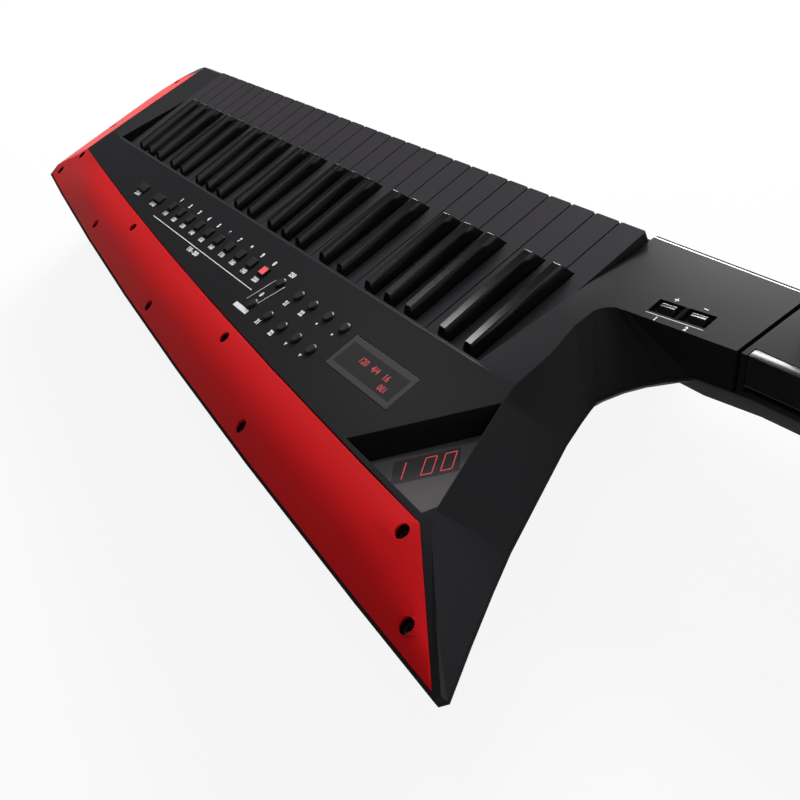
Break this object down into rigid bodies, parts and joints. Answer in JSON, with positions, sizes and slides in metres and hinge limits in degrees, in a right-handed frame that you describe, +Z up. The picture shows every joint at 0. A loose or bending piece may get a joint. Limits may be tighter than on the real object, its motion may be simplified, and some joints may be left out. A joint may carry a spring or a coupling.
{
  "type": "keytar",
  "caption": "Shoulder keyboard with full-size sprung keys, a slim control neck, a horn over a hand arch, a panel of buttons and displays, and a screwed-on red edge blade.",
  "frame": {"origin": "centre of the bounding box's underside, on the plane of the foot rails", "axes": "+X from the neck to the treble end, +Y from the key fronts to the blade, +Z up from the feet to the keys"},
  "size_m": [1.2504, 0.2916, 0.087],
  "materials": {
    "case": "fine-grained satin black",
    "blade": "satin red lacquer",
    "white_keys": "satin dark grey",
    "black_keys": "semi-gloss black",
    "steel": "bright",
    "frame": "moulded dark grey",
    "board": "green solder resist",
    "caps": "satin black",
    "gloss": "gloss black",
    "window": "smoked, clear gloss",
    "rubber": "matt black",
    "cells": "printed foil sleeve"
  },
  "bodies": {
    "body": {"top_case": "case", "bottom_case": "case", "edge_blade": "blade", "neck_cover": "case", "touch_strip": "gloss", "key_frame": "frame", "key_pivot_rod": "steel", "key_springs": "steel", "contact_board": "board", "panel_board": "board", "display_window": "window", "display_module": "frame", "readout_window": "window", "readout_module": "frame", "main_board": "board", "battery_pack": "cells", "jack_block": "frame", "foot_rail_front": "rubber", "foot_rail_rear": "rubber", "strap_button_horn": "steel", "strap_button_tail": "steel"},
    "white_key_c1": {"white_key_c1": "white_keys"},
    "white_key_d1": {"white_key_d1": "white_keys"},
    "white_key_e1": {"white_key_e1": "white_keys"},
    "white_key_f1": {"white_key_f1": "white_keys"},
    "white_key_g1": {"white_key_g1": "white_keys"},
    "white_key_a1": {"white_key_a1": "white_keys"},
    "white_key_b1": {"white_key_b1": "white_keys"},
    "white_key_c2": {"white_key_c2": "white_keys"},
    "white_key_d2": {"white_key_d2": "white_keys"},
    "white_key_e2": {"white_key_e2": "white_keys"},
    "white_key_f2": {"white_key_f2": "white_keys"},
    "white_key_g2": {"white_key_g2": "white_keys"},
    "white_key_a2": {"white_key_a2": "white_keys"},
    "white_key_b2": {"white_key_b2": "white_keys"},
    "black_key_c_sharp1": {"black_key_c_sharp1": "black_keys"},
    "black_key_d_sharp1": {"black_key_d_sharp1": "black_keys"},
    "black_key_f_sharp1": {"black_key_f_sharp1": "black_keys"},
    "black_key_g_sharp1": {"black_key_g_sharp1": "black_keys"},
    "black_key_a_sharp1": {"black_key_a_sharp1": "black_keys"},
    "black_key_c_sharp2": {"black_key_c_sharp2": "black_keys"},
    "black_key_d_sharp2": {"black_key_d_sharp2": "black_keys"},
    "black_key_f_sharp2": {"black_key_f_sharp2": "black_keys"},
    "black_key_g_sharp2": {"black_key_g_sharp2": "black_keys"},
    "black_key_a_sharp2": {"black_key_a_sharp2": "black_keys"},
    "white_key_comb": {"white_key_comb": "white_keys"},
    "black_key_comb": {"black_key_comb": "black_keys"},
    "modulation_bar": {"modulation_bar": "gloss"},
    "volume_knob": {"volume_knob": "caps"},
    "assign_knob_1": {"assign_knob_1": "caps"},
    "assign_knob_2": {"assign_knob_2": "caps"},
    "hold_button": {"hold_button": "caps"},
    "octave_up_button": {"octave_up_button": "gloss"},
    "octave_down_button": {"octave_down_button": "gloss"},
    "tone_button_strip": {"tone_button_strip": "caps"},
    "mode_button_strip": {"mode_button_strip": "caps"},
    "upper_button_strip": {"upper_button_strip": "caps"},
    "lower_button_strip": {"lower_button_strip": "caps"},
    "battery_cover": {"battery_cover": "case"},
    "power_button": {"power_button": "caps"}
  },
  "joints": [
    {"name": "white_key_c1_pivot", "type": "hinge", "parent": "body", "child": "white_key_c1", "pos_m": [-0.1515, 0.03325, 0.0684], "axis": [1, 0, 0], "range_deg": [0, 3.4], "stiffness_Nm_per_rad": 0.6, "springref_deg": -6.88},
    {"name": "white_key_d1_pivot", "type": "hinge", "parent": "body", "child": "white_key_d1", "pos_m": [-0.128, 0.03325, 0.0684], "axis": [1, 0, 0], "range_deg": [0, 3.4], "stiffness_Nm_per_rad": 0.6, "springref_deg": -6.88},
    {"name": "white_key_e1_pivot", "type": "hinge", "parent": "body", "child": "white_key_e1", "pos_m": [-0.1045, 0.03325, 0.0684], "axis": [1, 0, 0], "range_deg": [0, 3.4], "stiffness_Nm_per_rad": 0.6, "springref_deg": -6.88},
    {"name": "white_key_f1_pivot", "type": "hinge", "parent": "body", "child": "white_key_f1", "pos_m": [-0.081, 0.03325, 0.0684], "axis": [1, 0, 0], "range_deg": [0, 3.4], "stiffness_Nm_per_rad": 0.6, "springref_deg": -6.88},
    {"name": "white_key_g1_pivot", "type": "hinge", "parent": "body", "child": "white_key_g1", "pos_m": [-0.0575, 0.03325, 0.0684], "axis": [1, 0, 0], "range_deg": [0, 3.4], "stiffness_Nm_per_rad": 0.6, "springref_deg": -6.88},
    {"name": "white_key_a1_pivot", "type": "hinge", "parent": "body", "child": "white_key_a1", "pos_m": [-0.034, 0.03325, 0.0684], "axis": [1, 0, 0], "range_deg": [0, 3.4], "stiffness_Nm_per_rad": 0.6, "springref_deg": -6.88},
    {"name": "white_key_b1_pivot", "type": "hinge", "parent": "body", "child": "white_key_b1", "pos_m": [-0.0105, 0.03325, 0.0684], "axis": [1, 0, 0], "range_deg": [0, 3.4], "stiffness_Nm_per_rad": 0.6, "springref_deg": -6.88},
    {"name": "black_key_c_sharp1_pivot", "type": "hinge", "parent": "body", "child": "black_key_c_sharp1", "pos_m": [-0.14195, 0.03325, 0.0684], "axis": [1, 0, 0], "range_deg": [0, 4.2], "stiffness_Nm_per_rad": 0.6, "springref_deg": -6.88},
    {"name": "black_key_d_sharp1_pivot", "type": "hinge", "parent": "body", "child": "black_key_d_sharp1", "pos_m": [-0.11365, 0.03325, 0.0684], "axis": [1, 0, 0], "range_deg": [0, 4.2], "stiffness_Nm_per_rad": 0.6, "springref_deg": -6.88},
    {"name": "black_key_f_sharp1_pivot", "type": "hinge", "parent": "body", "child": "black_key_f_sharp1", "pos_m": [-0.07245, 0.03325, 0.0684], "axis": [1, 0, 0], "range_deg": [0, 4.2], "stiffness_Nm_per_rad": 0.6, "springref_deg": -6.88},
    {"name": "black_key_g_sharp1_pivot", "type": "hinge", "parent": "body", "child": "black_key_g_sharp1", "pos_m": [-0.04595, 0.03325, 0.0684], "axis": [1, 0, 0], "range_deg": [0, 4.2], "stiffness_Nm_per_rad": 0.6, "springref_deg": -6.88},
    {"name": "black_key_a_sharp1_pivot", "type": "hinge", "parent": "body", "child": "black_key_a_sharp1", "pos_m": [-0.01945, 0.03325, 0.0684], "axis": [1, 0, 0], "range_deg": [0, 4.2], "stiffness_Nm_per_rad": 0.6, "springref_deg": -6.88},
    {"name": "white_key_c2_pivot", "type": "hinge", "parent": "body", "child": "white_key_c2", "pos_m": [0.013, 0.03325, 0.0684], "axis": [1, 0, 0], "range_deg": [0, 3.4], "stiffness_Nm_per_rad": 0.6, "springref_deg": -6.88},
    {"name": "white_key_d2_pivot", "type": "hinge", "parent": "body", "child": "white_key_d2", "pos_m": [0.0365, 0.03325, 0.0684], "axis": [1, 0, 0], "range_deg": [0, 3.4], "stiffness_Nm_per_rad": 0.6, "springref_deg": -6.88},
    {"name": "white_key_e2_pivot", "type": "hinge", "parent": "body", "child": "white_key_e2", "pos_m": [0.06, 0.03325, 0.0684], "axis": [1, 0, 0], "range_deg": [0, 3.4], "stiffness_Nm_per_rad": 0.6, "springref_deg": -6.88},
    {"name": "white_key_f2_pivot", "type": "hinge", "parent": "body", "child": "white_key_f2", "pos_m": [0.0835, 0.03325, 0.0684], "axis": [1, 0, 0], "range_deg": [0, 3.4], "stiffness_Nm_per_rad": 0.6, "springref_deg": -6.88},
    {"name": "white_key_g2_pivot", "type": "hinge", "parent": "body", "child": "white_key_g2", "pos_m": [0.107, 0.03325, 0.0684], "axis": [1, 0, 0], "range_deg": [0, 3.4], "stiffness_Nm_per_rad": 0.6, "springref_deg": -6.88},
    {"name": "white_key_a2_pivot", "type": "hinge", "parent": "body", "child": "white_key_a2", "pos_m": [0.1305, 0.03325, 0.0684], "axis": [1, 0, 0], "range_deg": [0, 3.4], "stiffness_Nm_per_rad": 0.6, "springref_deg": -6.88},
    {"name": "white_key_b2_pivot", "type": "hinge", "parent": "body", "child": "white_key_b2", "pos_m": [0.154, 0.03325, 0.0684], "axis": [1, 0, 0], "range_deg": [0, 3.4], "stiffness_Nm_per_rad": 0.6, "springref_deg": -6.88},
    {"name": "black_key_c_sharp2_pivot", "type": "hinge", "parent": "body", "child": "black_key_c_sharp2", "pos_m": [0.02255, 0.03325, 0.0684], "axis": [1, 0, 0], "range_deg": [0, 4.2], "stiffness_Nm_per_rad": 0.6, "springref_deg": -6.88},
    {"name": "black_key_d_sharp2_pivot", "type": "hinge", "parent": "body", "child": "black_key_d_sharp2", "pos_m": [0.05085, 0.03325, 0.0684], "axis": [1, 0, 0], "range_deg": [0, 4.2], "stiffness_Nm_per_rad": 0.6, "springref_deg": -6.88},
    {"name": "black_key_f_sharp2_pivot", "type": "hinge", "parent": "body", "child": "black_key_f_sharp2", "pos_m": [0.09205, 0.03325, 0.0684], "axis": [1, 0, 0], "range_deg": [0, 4.2], "stiffness_Nm_per_rad": 0.6, "springref_deg": -6.88},
    {"name": "black_key_g_sharp2_pivot", "type": "hinge", "parent": "body", "child": "black_key_g_sharp2", "pos_m": [0.11855, 0.03325, 0.0684], "axis": [1, 0, 0], "range_deg": [0, 4.2], "stiffness_Nm_per_rad": 0.6, "springref_deg": -6.88},
    {"name": "black_key_a_sharp2_pivot", "type": "hinge", "parent": "body", "child": "black_key_a_sharp2", "pos_m": [0.14505, 0.03325, 0.0684], "axis": [1, 0, 0], "range_deg": [0, 4.2], "stiffness_Nm_per_rad": 0.6, "springref_deg": -6.88},
    {"name": "white_key_comb_pivot", "type": "hinge", "parent": "body", "child": "white_key_comb", "pos_m": [0.342, 0.03325, 0.0684], "axis": [1, 0, 0], "range_deg": [0, 3.4], "stiffness_Nm_per_rad": 9, "springref_deg": -6.88},
    {"name": "black_key_comb_pivot", "type": "hinge", "parent": "body", "child": "black_key_comb", "pos_m": [0.342, 0.03325, 0.0684], "axis": [1, 0, 0], "range_deg": [0, 4.2], "stiffness_Nm_per_rad": 6, "springref_deg": -6.88},
    {"name": "tone_button_strip_press", "type": "slide", "parent": "body", "child": "tone_button_strip", "axis": [0, 0, -1], "range_m": [0, 0.0008], "stiffness_N_per_m": 150, "springref_m": -0.003},
    {"name": "mode_button_strip_press", "type": "slide", "parent": "body", "child": "mode_button_strip", "axis": [0, 0, -1], "range_m": [0, 0.0008], "stiffness_N_per_m": 150, "springref_m": -0.003},
    {"name": "upper_button_strip_press", "type": "slide", "parent": "body", "child": "upper_button_strip", "axis": [0, 0, -1], "range_m": [0, 0.0008], "stiffness_N_per_m": 150, "springref_m": -0.003},
    {"name": "lower_button_strip_press", "type": "slide", "parent": "body", "child": "lower_button_strip", "axis": [0, 0, -1], "range_m": [0, 0.0008], "stiffness_N_per_m": 150, "springref_m": -0.003},
    {"name": "octave_up_button_press", "type": "slide", "parent": "body", "child": "octave_up_button", "axis": [0, 0.1289, -0.9917], "range_m": [0, 0.001], "stiffness_N_per_m": 150, "springref_m": -0.003},
    {"name": "octave_down_button_press", "type": "slide", "parent": "body", "child": "octave_down_button", "axis": [0, 0.1289, -0.9917], "range_m": [0, 0.001], "stiffness_N_per_m": 150, "springref_m": -0.003},
    {"name": "hold_button_press", "type": "slide", "parent": "body", "child": "hold_button", "axis": [0, 0.1289, -0.9917], "range_m": [0, 0.001], "stiffness_N_per_m": 150, "springref_m": -0.003},
    {"name": "power_button_press", "type": "slide", "parent": "body", "child": "power_button", "axis": [0, -1, 0], "range_m": [0, 0.0015], "stiffness_N_per_m": 150, "springref_m": -0.003},
    {"name": "volume_knob_turn", "type": "hinge", "parent": "body", "child": "volume_knob", "pos_m": [-0.30325, -0.11492, 0.07043], "axis": [0, -0.1289, 0.9917], "range_deg": [-140, 140]},
    {"name": "assign_knob_1_turn", "type": "hinge", "parent": "body", "child": "assign_knob_1", "pos_m": [-0.32625, -0.11492, 0.07043], "axis": [0, -0.1289, 0.9917], "range_deg": [-140, 140]},
    {"name": "assign_knob_2_turn", "type": "hinge", "parent": "body", "child": "assign_knob_2", "pos_m": [-0.34925, -0.11492, 0.07043], "axis": [0, -0.1289, 0.9917], "range_deg": [-140, 140]},
    {"name": "modulation_bar_swing", "type": "hinge", "parent": "body", "child": "modulation_bar", "pos_m": [-0.37475, -0.08875, 0.0614], "axis": [-1, 0, 0], "range_deg": [0, 8], "stiffness_Nm_per_rad": 0.5, "springref_deg": -5.73},
    {"name": "battery_cover_hinge", "type": "hinge", "parent": "body", "child": "battery_cover", "pos_m": [-0.02025, -0.06825, 0.0044], "axis": [-1, 0, 0], "range_deg": [0, 100]}
  ]
}
